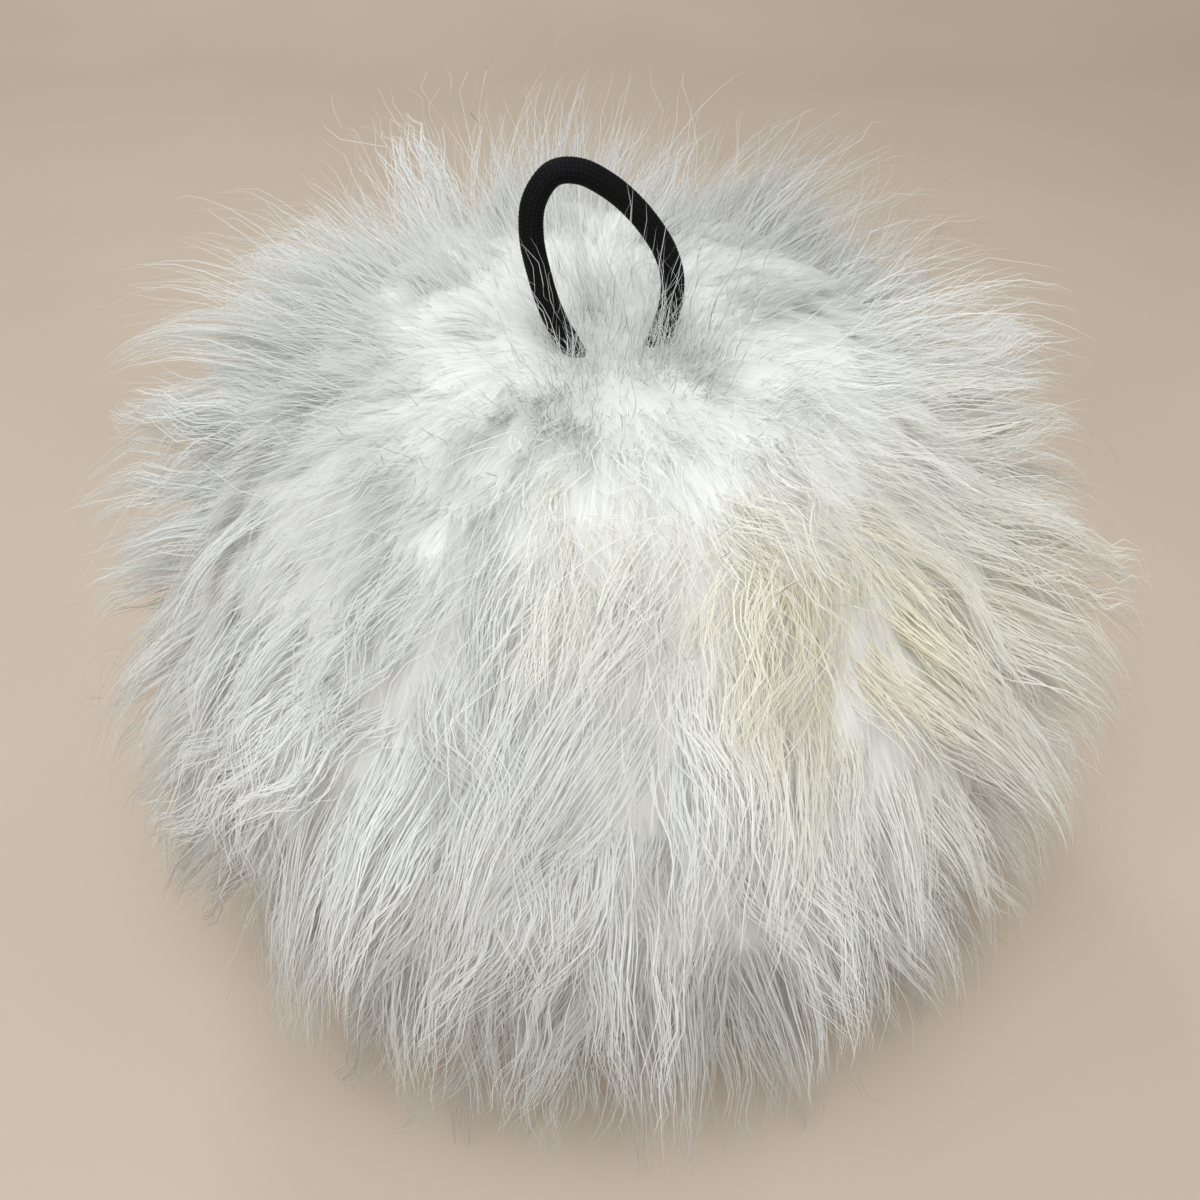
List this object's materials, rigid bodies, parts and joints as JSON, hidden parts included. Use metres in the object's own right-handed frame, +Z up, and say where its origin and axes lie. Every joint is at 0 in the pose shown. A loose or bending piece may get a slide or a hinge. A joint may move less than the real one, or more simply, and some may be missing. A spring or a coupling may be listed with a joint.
{
  "type": "fur pom-pom",
  "caption": "Round pom-pom of long-haired fur pelt gathered over a stuffed core, with a round elastic hanging loop.",
  "frame": {"origin": "middle of the flat spot that the pile rests on, under the ball's centre", "axes": "+Z up; the gathered mouth faces up and a little to -Y, which is the front; +X to the right"},
  "size_m": [0.1502, 0.1506, 0.1251],
  "materials": {
    "fur_pelt": "long white fur",
    "stuffing": "loose white fibre",
    "elastic_loop": "black knitted sleeve",
    "elastic_knot": "black knitted sleeve",
    "gathering_thread": "waxed"
  },
  "bodies": {
    "root": {"fur_pelt": "fur_pelt", "stuffing": "stuffing", "elastic_loop": "elastic_loop", "elastic_knot": "elastic_knot", "gathering_thread": "gathering_thread"}
  },
  "joints": []
}
